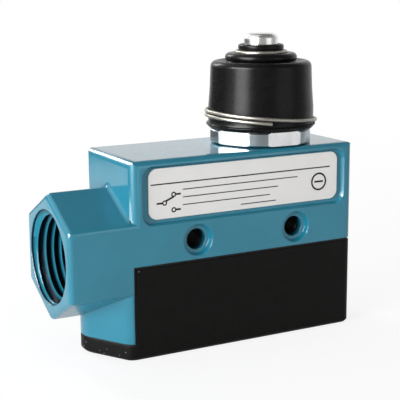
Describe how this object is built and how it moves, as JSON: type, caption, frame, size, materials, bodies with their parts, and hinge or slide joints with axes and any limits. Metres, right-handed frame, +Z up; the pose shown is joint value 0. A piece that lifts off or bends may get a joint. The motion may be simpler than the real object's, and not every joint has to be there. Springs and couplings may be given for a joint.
{
  "type": "enclosed basic switch",
  "caption": "Snap-action switch in a blue die-cast housing with a threaded conduit hub, black wiring cover and a booted top plunger.",
  "frame": {"origin": "on the back mounting face, midway between the two mounting holes", "axes": "+X along the housing away from the conduit hub, +Y out of the back mounting face, +Z up along the plunger"},
  "size_m": [0.0718, 0.0264, 0.069],
  "materials": {
    "blue_enamel": "glossy blue enamel on die-cast metal",
    "black_cover": "fine matte black",
    "gasket_rubber": "matte",
    "zinc_steel": "bright zinc plate",
    "label_plate": "satin white plate",
    "boot_rubber": "smooth moulded rubber",
    "clamp_wire": "drawn steel wire",
    "polished_steel": "polished steel",
    "spring_steel": "spring wire",
    "phenolic": "dark phenolic moulding",
    "brass": "plain brass",
    "red_button": "smooth moulding",
    "blade_copper": "rolled copper alloy",
    "silver_contact": "silver",
    "green_screw": "green dyed plate"
  },
  "bodies": {
    "enclosure": {"housing": "blue_enamel", "cover": "black_cover", "cover_gasket": "gasket_rubber", "cover_screws": "zinc_steel", "nameplate": "label_plate", "bushing_seal": "gasket_rubber", "hex_bushing": "zinc_steel", "boot": "boot_rubber", "boot_clamp": "clamp_wire", "return_spring": "spring_steel", "spring_seat": "zinc_steel", "switch_base": "phenolic", "switch_lid": "phenolic", "case_rivets": "brass", "common_terminal": "brass", "open_terminal": "brass", "closed_terminal": "brass", "open_contact": "silver_contact", "closed_contact": "silver_contact", "terminal_screws": "zinc_steel", "terminal_washers": "zinc_steel", "ground_screw": "green_screw"},
    "plunger": {"plunger": "polished_steel", "neck_ring": "clamp_wire", "striker_retainer": "zinc_steel", "overtravel_spring": "spring_steel"},
    "striker": {"striker_pin": "polished_steel", "push_button": "red_button"},
    "blade": {"snap_blade": "blade_copper", "moving_contact": "silver_contact"}
  },
  "joints": [
    {"name": "plunger_slide", "type": "slide", "parent": "enclosure", "child": "plunger", "axis": [0, 0, -1], "range_m": [0, 0.0056], "stiffness_N_per_m": 1200, "springref_m": -0.004, "deforming": ["boot", "return_spring", "overtravel_spring"]},
    {"name": "striker_slide", "type": "slide", "parent": "enclosure", "child": "striker", "axis": [0, 0, -1], "range_m": [0, 0.00047]},
    {"name": "blade_snap", "type": "hinge", "parent": "enclosure", "child": "blade", "pos_m": [-0.015, -0.0124, 0.0062], "axis": [0, 1, 0], "range_deg": [0, 1.06]}
  ],
  "couplings": [
    {"joint": "striker_slide", "follows": "plunger_slide", "ratio": 0.0821},
    {"joint": "blade_snap", "follows": "plunger_slide", "rad_per_m": 3.26}
  ]
}
